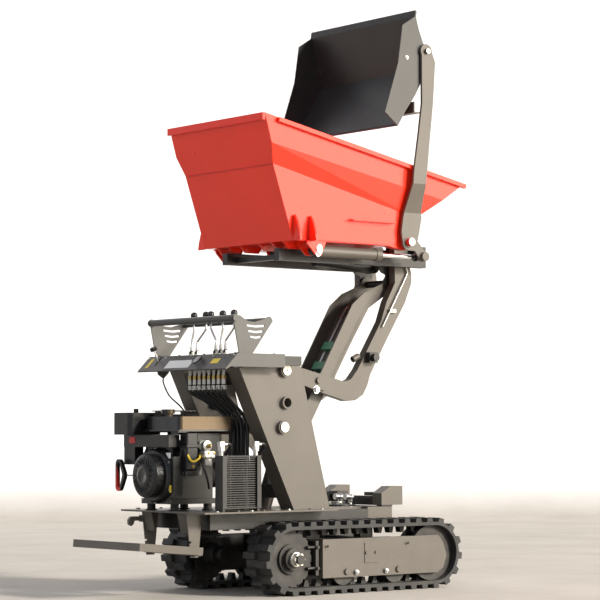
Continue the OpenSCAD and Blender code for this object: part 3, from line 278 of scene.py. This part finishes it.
part("lift_arm", 1, lambda x, y, z, n: y < -157.5 and x > 600 and z < 1200 or
     (-131 < y < -92 and 560 < x < 660 and 1080 < z < 1160 and abs(n.y) < 0.9))
give("lower_link", "taupe", "green", "zinc")


def off_line(x, z, a, b):
    dx, dz = b[0] - a[0], b[1] - a[1]
    return ((x - a[0]) * -dz + (z - a[1]) * dx) / math.hypot(dx, dz)


part("lower_link", 2, lambda x, y, z, n: abs(y) < 43 and off_line(x, z, (494, 1040), (679, 1339)) > 8.5)
part("lower_link", 1, lambda x, y, z, n: abs(y) < 49 and off_line(x, z, (494, 1040), (679, 1339)) > 8.5 and
     any(abs(math.hypot(x - 494, z - 1040) - d) < 27 for d in (42, 158)) and abs(abs(y) - 34) > 8)
part("lift_rod", 1, lambda x, y, z, n: math.hypot(x - 355, z - 1013) < 62)
part("tip_rod", 1, lambda x, y, z, n: math.hypot(x - 220, z - 1634) < 50)
part("shovel_rods", 1, lambda x, y, z, n: math.hypot(x - 848, z - 1626) < 46)
part("lift_barrel", 1, lambda x, y, z, n: math.hypot(x - 112, z - 330) < 40)
part("shovel_barrels", 1, lambda x, y, z, n: math.hypot(x - 190, z - 1626) < 30)

# ---------------------------------------------------------------- small pieces
COUNT = [0]


def piece(name, verts, faces, mat, body, smooth=False, bevel=0.0, angle=35):
    COUNT[0] += 1
    mesh = bpy.data.meshes.new(f"{name}_{COUNT[0]:03d}")
    mesh.from_pydata([tuple(P(*v)) for v in verts], [], faces)
    mesh.materials.append(M[mat])
    o = bpy.data.objects.new(mesh.name, mesh)
    bpy.context.scene.collection.objects.link(o)
    if smooth:
        mesh.polygons.foreach_set("use_smooth", [True] * len(mesh.polygons))
        mesh.set_sharp_from_angle(angle=math.radians(angle))
    if bevel:
        b = o.modifiers.new("bevel", "BEVEL")
        b.width = bevel / 1000
        b.segments = 2
        b.limit_method = "ANGLE"
    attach(o, body)
    return o


def basis(axis):
    a = Vector(axis).normalized()
    h = Vector((0, 0, 1)) if abs(a.z) < 0.9 else Vector((1, 0, 0))
    u = h.cross(a).normalized()
    return a, u, a.cross(u)


def bands(rows, seg, caps=True):
    """Faces between rings of seg corners, with both ends closed."""
    fs = [(i * seg + k, i * seg + (k + 1) % seg, (i + 1) * seg + (k + 1) % seg, (i + 1) * seg + k)
          for i in range(rows - 1) for k in range(seg)]
    if caps:
        fs += [tuple(range(seg))[::-1], tuple((rows - 1) * seg + k for k in range(seg))]
    return fs


def lathe(name, prof, at, axis, mat, body, seg=28, turn=0.0, smooth=True, caps=True):
    """Turns a profile of (radius, height) round an axis."""
    a, u, w = basis(axis)
    at = Vector(at)
    vs = []
    for r, h in prof:
        for k in range(seg):
            t = 2 * math.pi * k / seg + turn
            vs.append(at + a * h + (u * math.cos(t) + w * math.sin(t)) * max(r, 0.02))
    return piece(name, vs, bands(len(prof), seg, caps), mat, body, smooth)


def bolt(at, axis, r, body, mat="zinc", washer=True):
    """A hexagon head with its washer, standing on a face."""
    h0 = 0.0
    if washer:
        lathe("washer", [(r * 0.4, -0.4), (r * 1.3, -0.4), (r * 1.34, 0.4), (r * 1.3, 1.4), (r * 0.4, 1.5)],
              at, axis, mat, body, 24)
        h0 = 1.2
    lathe("bolt_head", [(r * 0.9, h0), (r, h0 + 0.4), (r, h0 + r * 0.62), (r * 0.86, h0 + r * 0.78),
                        (r * 0.3, h0 + r * 0.8)], at, axis, mat, body, 6, random.random(), False)


def smooth_path(pts, n=8):
    pts = [Vector(p) for p in pts]
    out = []
    for i in range(len(pts) - 1):
        a, b, c, d = pts[max(i - 1, 0)], pts[i], pts[i + 1], pts[min(i + 2, len(pts) - 1)]
        for k in range(n):
            t = k / n
            out.append(0.5 * (2 * b + (c - a) * t + (2 * a - 5 * b + 4 * c - d) * t * t +
                              (3 * b - a - 3 * c + d) * t ** 3))
    return out + [pts[-1]]


def tube(name, pts, r, mat, body, seg=12, n=8, ripple=0.0):
    path = smooth_path(pts, n)
    vs, u = [], None
    for i, p in enumerate(path):
        d = (path[min(i + 1, len(path) - 1)] - path[max(i - 1, 0)]).normalized()
        u = basis(d)[1] if u is None else (u - d * u.dot(d)).normalized()
        w = d.cross(u)
        rr = r * (1 + ripple * (random.random() - 0.5))
        for k in range(seg):
            t = 2 * math.pi * k / seg
            vs.append(p + (u * math.cos(t) + w * math.sin(t)) * rr)
    return piece(name, vs, bands(len(path), seg), mat, body, True, angle=60)


def bead(a, b, r, mat, body, step=4.0):
    """A weld bead between two points, uneven like a hand-made one."""
    a, b = Vector(a), Vector(b)
    n = max(3, int((b - a).length / step))
    d, u, w = basis(b - a)
    vs = []
    seg = 8
    for i in range(n + 1):
        c = a.lerp(b, i / n)
        rr = r * (0.82 + 0.3 * (i % 2) + 0.12 * random.random())
        if i in (0, n):
            rr = r * 0.3
        for k in range(seg):
            t = 2 * math.pi * k / seg
            vs.append(c + (u * math.cos(t) + w * math.sin(t)) * rr)
    return piece("weld", vs, bands(n + 1, seg), mat, body, True, angle=80)


def card(name, at, u, v, w, h, mat, body, thick=0.6, corner=4.0, seg=5):
    """A thin card with rounded corners, lying in the plane of u and v."""
    at, u, v = Vector(at), Vector(u).normalized(), Vector(v).normalized()
    n = u.cross(v)
    ring = []
    for cx, cy, a0 in ((1, 1, 0), (-1, 1, 90), (-1, -1, 180), (1, -1, 270)):
        for k in range(seg + 1):
            t = math.radians(a0 + 90 * k / seg)
            ring.append((cx * (w / 2 - corner) + corner * math.cos(t), cy * (h / 2 - corner) + corner * math.sin(t)))
    m = len(ring)
    vs = [at + u * x + v * y + n * z for z in (-0.3, thick) for x, y in ring]
    fs = [tuple(range(m))[::-1], tuple(range(m, 2 * m))] + [(k, (k + 1) % m, (k + 1) % m + m, k + m) for k in range(m)]
    return piece(name, vs, fs, mat, body)


def bar_piece(name, lo, hi, mat, body, bevel=1.0):
    x0, y0, z0 = lo
    x1, y1, z1 = hi
    vs = [(x, y, z) for z in (z0, z1) for x, y in ((x0, y0), (x1, y0), (x1, y1), (x0, y1))]
    fs = [(0, 3, 2, 1), (4, 5, 6, 7), (0, 1, 5, 4), (1, 2, 6, 5), (2, 3, 7, 6), (3, 0, 4, 7)]
    return piece(name, vs, fs, mat, body, bevel=bevel)


CH = "chassis"
# console panel: blank labels, screws along the edge
pu = Vector((0, 1, 0))
pv = Vector((72, 0, 72)).normalized()


def on_panel(y, t, lift=0.4):
    return Vector((-358 + 72 * t, y, 1057 + 72 * t)) + Vector((-1, 0, 1)).normalized() * lift


card("panel_label", on_panel(52, 0.40), -pu, pv, 196, 52, "white", CH, 0.5)
gauge_at, gauge_axis = (-334.7, -100, 1105.7), Vector((-1, 0, 1))
lathe("gauge_bezel", [(27.5, -3), (29, -2), (29, 2.4), (26.5, 3.4), (24.5, 2.6), (24.5, -3)], gauge_at, gauge_axis,
      "gloss", CH, 40, caps=False)
lathe("gauge_dial", [(24.4, 0.2), (24.4, 0.8), (2, 0.9)], gauge_at, gauge_axis, "dial", CH, 36)
ga, gu, gw = basis(gauge_axis)
face, over = Vector(gauge_at) + ga * 1.2, Vector(gauge_at) + ga * 2
for k in range(11):
    t = math.radians(-130 + 26 * k)
    d = gu * math.sin(t) + gw * math.cos(t)
    tube("gauge_tick", [face + d * 16, face + d * 21], 0.8, "gloss", CH, 6, 1)
tube("gauge_needle", [over - gu * 5, over + gu * 18], 1.0, "redgrip", CH, 6, 1)
card("panel_label", on_panel(-226, 0.52), -pu, pv, 56, 32, "yellow", CH, 0.5, 2)
card("panel_label", on_panel(304, 0.52), -pu, pv, 22, 62, "yellow", CH, 0.5, 2)
for y in (-340, -180, 205, 340):
    bolt(on_panel(y, 0.86, 0), (-1, 0, 1), 4.5, CH, "zinc")
for y in (-300, -60, 140, 300):
    for x in (-262, -30):
        bolt((x, y, 1129), (0, 0, 1), 5, CH, "dark")
# rings, centres and grease nipples on the mast's pins, bolts and split pins on the lift arm
for s in (-1, 1):
    for px, pz in ((45, 1055), (31, 786)):
        yb = (280 + 24) * s
        lathe("pin_ring", [(12.5, -1), (23.5, -1), (25, 0), (24.2, 2.4), (15, 3), (12.5, 2.2), (12.5, -1)],
              (px, yb, pz), (0, s, 0), "pale", CH, 36, caps=False)
        lathe("pin_centre", [(12.4, -1), (12.4, 1.2), (6, 1.6), (5, 0.6)], (px, yb, pz), (0, s, 0), "redgrip", CH, 28)
        lathe("grease_nipple", [(3.6, -1), (3.6, 3), (2.2, 4.5), (3.0, 6), (2.4, 8), (0.8, 8.6)], (px, yb, pz),
              (0, s, 0), "brass", CH, 12)
for s in (-1, 1):
    bolt((342, 157.5 * s, 968), (0, s, 0), 15, "lift_arm_body", "chrome")
    tube("split_pin", [(362, 158 * s, 968), (374, 161 * s, 966), (384, 161 * s, 962)], 2.2, "dark", "lift_arm_body", 8)
# steel pipe along the near leg with its clamp and end fittings
tube("leg_pipe", [(761, -165, 1284), (800, -167, 1348), (870, -167, 1463), (920, -166, 1545), (926, -166, 1566),
                  (907, -166, 1610)], 4.5, "steel", "lift_arm_body", 10, 7)
bar_piece("pipe_clamp", (806, -174, 1356), (846, -157.2, 1376), "zinc", "lift_arm_body", 2)
bolt((826, -174, 1366), (0, -1, 0), 6, "lift_arm_body")
PIPE_END = [(5, -2), (8, 0), (8, 12), (6, 14), (6, 24), (3, 26)]
lathe("pipe_end", PIPE_END, (905, -166, 1612), (-0.3, 0, 1), "brass", "lift_arm_body", 6, 0.2, False)
lathe("pipe_end", PIPE_END, (917, -166, 1610), (-0.3, 0, 1), "zinc", "lift_arm_body", 6, 0.2, False)
# welds along the skip and its brackets
S = "skip_body"
for s in (-1, 1):
    bead((46, 351 * s, 1676), (662, 351 * s, 1672), 2.6, "weld", S, 5)
    bead((392, 352 * s, 1787.5), (664, 352 * s, 1787.5), 2.6, "weld", S, 5)
    bead((640, 347 * s, 1674), (786, 347 * s, 1786), 2.2, "weld", S, 5)
    for x in (43, 55, 139, 151):
        bead((x, 352 * s, 1676), (x, 352 * s, 1778), 2.2, "weld", S, 5)
for y in (-262, -76, 76, 262):
    for d in (-6, 6):
        bead((60, y + d, 1669.5), (182, y + d, 1669.5), 2.4, "weld", S, 5)
bead((-77, 346, 2022), (-77, -346, 2022), 2.4, "weld", S, 6)
# white pin plates of the shovel cylinders
RIM = 40              # corners round a plate
for s in (-1, 1):
    y = 370 * s
    lathe("pin_head", [(13, -3), (18, -2.5), (18.5, 0), (17.5, 4), (12, 5.5), (4, 6)], (190, y, 1626), (0, s, 0),
          "zinc", S, 32)
    for (dx, dz) in ((0, 17), (0, -17)):
        lathe("plate_screw", [(5, -4), (5, 3), (3.6, 4.6), (1, 5)], (190 + dx * 0.3, y - 4 * s, 1626 + dz), (0, s, 0),
              "pink", S, 16)
    ring = []
    for k in range(RIM):
        t = 2 * math.pi * k / RIM
        ring.append((190 + 20 * math.cos(t) + 6 * math.sin(t), 1626 + 31 * math.sin(t)))
    vs = [(x, yy, z) for yy in (366 * s, 367.5 * s) for x, z in ring]
    fs = [tuple(range(RIM)), tuple(range(RIM, 2 * RIM))[::-1]]
    fs += [(k, k + RIM, (k + 1) % RIM + RIM, (k + 1) % RIM) for k in range(RIM)]
    if s < 0:
        fs = [tuple(reversed(f)) for f in fs]
    piece("pin_plate", vs, fs, "white", S, bevel=0.5)
# heads on the shovel pins and on the arm pivots
for s in (-1, 1):
    for (x, z, y, r, b, m) in ((832, 2640, 437, 13.5, "shovel_arms_body", "chrome"),
                               (752, 1693, 400, 21, S, "zinc")):
        lathe("pin_head", [(r * 0.6, -1), (r, -0.6), (r * 1.02, 1), (r * 0.94, 3.4), (r * 0.5, 4.4)],
              (x, y * s, z), (0, s, 0), m, b, 32)
    bolt((716, 409 * s, 2600), (0, s, 0), 8, "shovel_body", "white")
# levers: bent rod, pale clevis, boot and ball knob
for k, (y, lean) in enumerate(zip((94, 50, -99, -137, -175), (-18, -70, 40, -16, -66))):
    b = f"lever_{k + 1}_body"
    rod = tube("lever_rod", [(-222, y, 1150), (-222, y, 1188), (-222, y + lean * 0.12, 1202),
                             (-222, y + lean * 0.88, 1246), (-222, y + lean, 1262), (-222, y + lean, 1312)],
               5.4, "chrome", b, 14, 6)
    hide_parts(f"lever_{k + 1}")
    lathe("lever_knob", [(7, -18), (9, -16), (9.5, -13), (13.5, -10), (16.6, -4), (17, 2), (15.6, 8), (11.6, 13),
                         (6, 16.2), (1, 17)], (-222, y + lean, 1320), (0, 0, 1), "gloss", b, 32)
    lathe("lever_collar", [(6, 0), (8.6, 0.6), (9, 3), (9, 19), (8, 22), (6.4, 23), (6.4, 30), (5.4, 31)],
          (-222, y, 1151), (0, 0, 1), "white", b, 20)
    lathe("lever_boot", [(12.6, 0), (13, 2), (10.5, 4), (12.4, 6.5), (10, 9), (11.6, 11.5), (9.2, 14), (9.6, 16)],
          (-222, y, 1136), (0, 0, 1), "plastic", b, 24)
# footboard: two bolts
for y in (-180, 180):
    bolt((-425, y, 228), (0, 0, 1), 6, "footboard_body", "zinc")
# track covers: screws
for s in (-1, 1):
    lo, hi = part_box("track_covers")
    y = hi.y * 1000 * s
    for x in (375, 562):
        bolt((x, y, 98), (0, s, 0), 9, CH, "chrome")
    for x in (196, 700):
        bolt((x, y, 226), (0, s, 0), 5, CH, "dark")
# deck: bolts along the edge
for s in (-1, 1):
    for x in (-380, -180, 40, 240):
        bolt((x, 322 * s, 396), (0, 0, 1), 7, CH, "zinc")
# engine: recoil cover screws, blank plates, spark lead, yellow hose, small fittings
cy, cz = 70, 560
for k in range(6):
    t = math.radians(60 * k + 30)
    bolt((-450.2, cy + 125 * math.cos(t), cz + 125 * math.sin(t)), (-1, 0, 0), 5, CH, "zinc")
for k in range(28):
    t = 2 * math.pi * k / 28
    a, b = Vector((-498, cy + 103.5 * math.cos(t), cz + 103.5 * math.sin(t))), \
        Vector((-519, cy + 88 * math.cos(t + 0.05), cz + 88 * math.sin(t + 0.05)))
    c = Vector((-522.5, cy + 52 * math.cos(t + 0.35), cz + 52 * math.sin(t + 0.35)))
    tube("recoil_rib", [a, b, b.lerp(c, 0.3) + Vector((-2.5, 0, 0)), c], 1.9, "gloss", CH, 6, 3)
lathe("recoil_hub", [(48, -2), (48, 3), (44, 6), (30, 7), (26, 5), (6, 5.5)], (-520.5, cy, cz), (-1, 0, 0),
      "gloss", CH, 40)
lathe("recoil_ring", [(50, -1), (54, 0.5), (55, 3), (51, 4), (49, 2)], (-520.5, cy, cz), (-1, 0, 0), "plastic", CH, 48)
bar_piece("control_box", (-404, -118, 586), (-338, -58, 762), "plastic", CH, 7)
bar_piece("control_lid", (-408, -122, 690), (-334, -54, 706), "plastic", CH, 3)
bar_piece("side_panel", (-336, -88, 636), (-178, -40, 766), "plastic", CH, 8)
bar_piece("back_panel", (-430, -30, 636), (-400, 170, 700), "plastic", CH, 8)
lathe("intake", [(10, -6), (24, -4), (26, 0), (26, 22), (20, 26), (20, 44), (25, 48), (25, 56), (14, 60)],
      (-300, -84, 700), (0, -1, 0), "alloy_light", CH, 28)
lathe("intake_nut", [(8, 0), (12, 1), (12, 9), (8, 11), (6, 20), (3, 22)], (-300, -144, 700), (0, -1, 0), "brass",
      CH, 6, 0.3, False)
bar_piece("carb_body", (-326, -150, 640), (-262, -104, 676), "alloy_light", CH, 6)
lathe("carb_bowl", [(20, 0), (22, 2), (22, 26), (18, 34), (8, 37)], (-294, -128, 640), (0, 0, -1),
      "alloy_light", CH, 28)
for k in range(4):
    bolt((-318 + 16 * k, -150.5, 648 + 18 * (k % 2)), (0, -1, 0), 4, CH, "brass" if k % 2 else "zinc")
for k in range(6):
    bar_piece("vent_slat", (-428, -26 + 32 * k, 704), (-424, -6 + 32 * k, 742), "gloss", CH, 1)
card("blank_plate", (-446.5, -28, 655), (0, -1, 0), (0, 0, 1), 34, 26, "white", CH, 0.6, 2)
card("blank_plate", (-454.0, -60, 500), (0, -1, 0), (0, 0, 1), 26, 34, "yellow", CH, 0.6, 2)
bar_piece("blank_badge", (-469.0, 215, 712), (-466.4, 262, 742), "redgrip", CH, 0.8)
tube("fuel_hose", [(-372, -96, 700), (-396, -112, 662), (-384, -132, 628), (-352, -140, 640), (-330, -118, 655)], 5,
     "yellow_hose", CH, 10, 8)
tube("spark_lead", [(-360, -70, 742), (-402, -82, 690), (-418, -66, 610), (-400, -40, 560)], 3.6, "hose", CH, 10, 8)
tube("vent_hose", [(-300, -150, 500), (-318, -160, 545), (-330, -146, 600), (-326, -120, 640)], 5, "hose", CH, 10, 8)
for k, (x, y, z) in enumerate(((-388, -96, 640), (-372, -120, 604), (-396, -88, 572))):
    bolt((x, y, z), (-1, -0.3, 0), 7, CH, ("zinc", "brass", "zinc")[k])
# clamps on the hoses near the fittings
for y in (104, 66, 28, -10, -48, -86, -124, -162):
    lathe("ferrule", [(9.2, 0), (12, 1), (12.2, 9), (11.2, 10), (12.2, 11), (12.2, 20), (9.4, 22)], (-222, y, 985),
          (0, 0, -1), "zinc", CH, 20)

# ---------------------------------------------------------------- stage, light and camera
FOCAL_PX, PICTURE_PX, SENSOR_MM = 2272, 600, 36
az, el, roll = math.radians(-38.82), math.radians(-3.29), math.radians(-0.119)
back = Vector((math.sin(az) * math.cos(el), -math.cos(az) * math.cos(el), math.sin(el)))
right = Vector((math.cos(az), math.sin(az), 0))
up = back.cross(right)
R = math.cos(roll) * right + math.sin(roll) * up
U = -math.sin(roll) * right + math.cos(roll) * up
cam = bpy.data.cameras.new("camera")
cam.lens = FOCAL_PX / PICTURE_PX * SENSOR_MM
cam.sensor_width = SENSOR_MM
cam.clip_end = 200
camo = bpy.data.objects.new("camera", cam)
bpy.context.scene.collection.objects.link(camo)
camo.matrix_world = Matrix(((R.x, U.x, back.x, -6.64 - OFF), (R.y, U.y, back.y, -8.71),
                            (R.z, U.z, back.z, 0.77), (0, 0, 0, 1)))
bpy.context.scene.camera = camo
bpy.context.scene.view_settings.view_transform = "Standard"

ahead = Vector((-math.sin(az), math.cos(az), 0))
side = Vector((math.cos(az), math.sin(az), 0))
start = Vector((-6.81, -8.71, 0)) - ahead * 14
FLAT_M, BEND_M, WALL_M, HALF_M = 33.8, 1.2, 14, 30      # floor, its bend, the wall's height, half the width
prof = [(0, 0), (FLAT_M, 0)]
for k in range(1, 10):
    a = math.radians(10 * k)
    prof.append((FLAT_M + BEND_M * math.sin(a), BEND_M - BEND_M * math.cos(a)))
prof.append((FLAT_M + BEND_M, WALL_M))
verts, faces = [], []
for s in (-HALF_M, HALF_M):
    for d, h in prof:
        verts.append(start + ahead * d + side * s + Vector((0, 0, h)))
m = len(prof)
for i in range(m - 1):
    faces.append((i, i + m, i + m + 1, i + 1))
me = bpy.data.meshes.new("floor")
me.from_pydata([tuple(v) for v in verts], [], faces)
floor = bpy.data.objects.new("floor", me)
bpy.context.scene.collection.objects.link(floor)
for p in me.polygons:
    p.use_smooth = True
fm, ft, fb = new_mat("floor_pale")
g = ft.nodes.new("ShaderNodeNewGeometry")
sx = ft.nodes.new("ShaderNodeSeparateXYZ")
ft.links.new(g.outputs["Position"], sx.inputs[0])
wall = ramp(ft, sx.outputs["Z"], 0.02, 0.5)
ground = mix(ft, ramp(ft, noise(ft, 1.1, 8, 0.7), 0.3, 0.7), (0.40, 0.365, 0.325), (0.50, 0.465, 0.42))
ft.links.new(mix(ft, wall, ground, (0.93, 0.935, 0.95)), fb.inputs["Base Color"])
fb.inputs["Roughness"].default_value = 0.85
bp = ft.nodes.new("ShaderNodeBump")
bp.inputs["Strength"].default_value = 0.15
ft.links.new(noise(ft, 60, 6, 0.7), bp.inputs["Height"])
ft.links.new(bp.outputs[0], fb.inputs["Normal"])
me.materials.append(fm)

world = bpy.data.worlds.new("studio")
bpy.context.scene.world = world
world.use_nodes = True
wt = world.node_tree
wt.nodes["Background"].inputs[0].default_value = (0.86, 0.90, 0.98, 1)
wt.nodes["Background"].inputs[1].default_value = 0.55


def lamp(name, kind, loc, target, energy, size=None, color=(1, 1, 1), angle=None):
    li = bpy.data.lights.new(name, kind)
    li.energy = energy
    li.color = color
    if size:
        li.size = size
    if angle:
        li.angle = angle
    o = bpy.data.objects.new(name, li)
    bpy.context.scene.collection.objects.link(o)
    o.location = loc
    o.rotation_euler = (Vector(target) - Vector(loc)).to_track_quat("-Z", "Y").to_euler()
    return o


lamp("key", "SUN", (3.4, -9, 5.4), (0, 0, 1.3), 4.6, color=(1.0, 0.95, 0.87), angle=math.radians(9))
lamp("sky", "AREA", (5.0, -6.6, 2.6), (0, 0, 1.6), 560, 5.5, (1.0, 0.90, 0.74))
lamp("fill", "AREA", (-7, -3, 5), (0, 0, 1.2), 90, 5, (0.86, 0.92, 1.0))
